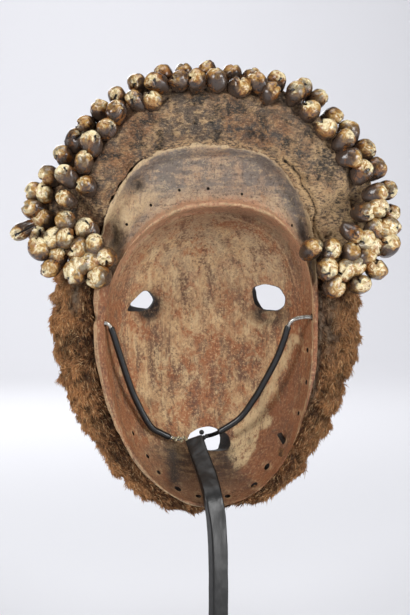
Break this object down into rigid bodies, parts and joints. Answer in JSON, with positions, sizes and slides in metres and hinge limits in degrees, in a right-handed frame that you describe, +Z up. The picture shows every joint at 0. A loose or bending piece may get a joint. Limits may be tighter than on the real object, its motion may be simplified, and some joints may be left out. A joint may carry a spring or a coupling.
{
  "type": "dan guere mask on its stand",
  "caption": "Carved wooden face mask with a hide headband, sewn cowrie shells and a hair beard, held by its rim on a black iron stand with a square foot.",
  "frame": {"origin": "the middle of the foot's underside", "axes": "+Z up; the carved face looks along -Y and the hollow opens towards +Y; +X is the wearer's left"},
  "size_m": [0.3134, 0.16, 0.496],
  "materials": {
    "carved_wood": "hand-carved, worn and soot-darkened",
    "band_hide": "rough, cracked and dusty",
    "cowrie_shell": "glossy natural shell",
    "goat_hair": "coarse matted hair on hide",
    "black_iron": "black satin",
    "bare_steel": "bare bright rod",
    "black_sleeve": "shrunk black sleeve, satin"
  },
  "bodies": {
    "root": {"mask": "carved_wood", "headband": "band_hide", "cowries_near_left_low": "cowrie_shell", "cowries_near_left_high": "cowrie_shell", "cowries_near_right_high": "cowrie_shell", "cowries_near_right_low": "cowrie_shell", "cowries_far_left_low": "cowrie_shell", "cowries_far_left_high": "cowrie_shell", "cowries_far_right_high": "cowrie_shell", "cowries_far_right_low": "cowrie_shell", "cowries_temple_left": "cowrie_shell", "cowries_temple_right": "cowrie_shell", "beard": "goat_hair", "foot": "black_iron", "post": "black_iron", "arm_left": "bare_steel", "arm_right": "bare_steel", "sleeve_left": "black_sleeve", "sleeve_right": "black_sleeve"}
  },
  "joints": []
}
